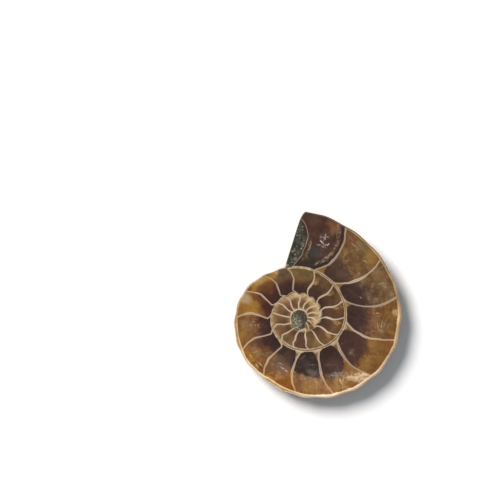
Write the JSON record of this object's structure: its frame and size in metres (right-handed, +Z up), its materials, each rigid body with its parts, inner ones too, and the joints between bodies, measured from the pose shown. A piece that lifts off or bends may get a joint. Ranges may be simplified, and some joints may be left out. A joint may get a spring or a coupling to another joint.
{
  "type": "ammonite fossil half",
  "caption": "Half of a sawn ammonite: a coiled, chambered shell turned to stone, with a flat polished cut face on top and a ribbed convex flank below.",
  "frame": {"origin": "centre of the bounding box, on the plane the flank rests on", "axes": "+Z up, out of the polished cut face; +Y along the greatest length, towards the broken end of the coil; +X to the right, seen from above"},
  "size_m": [0.036, 0.0402, 0.0057],
  "materials": {
    "fossil": "polished calcite, brown to amber, with cream shell lines"
  },
  "bodies": {
    "root": {"ammonite": "fossil"}
  },
  "joints": []
}
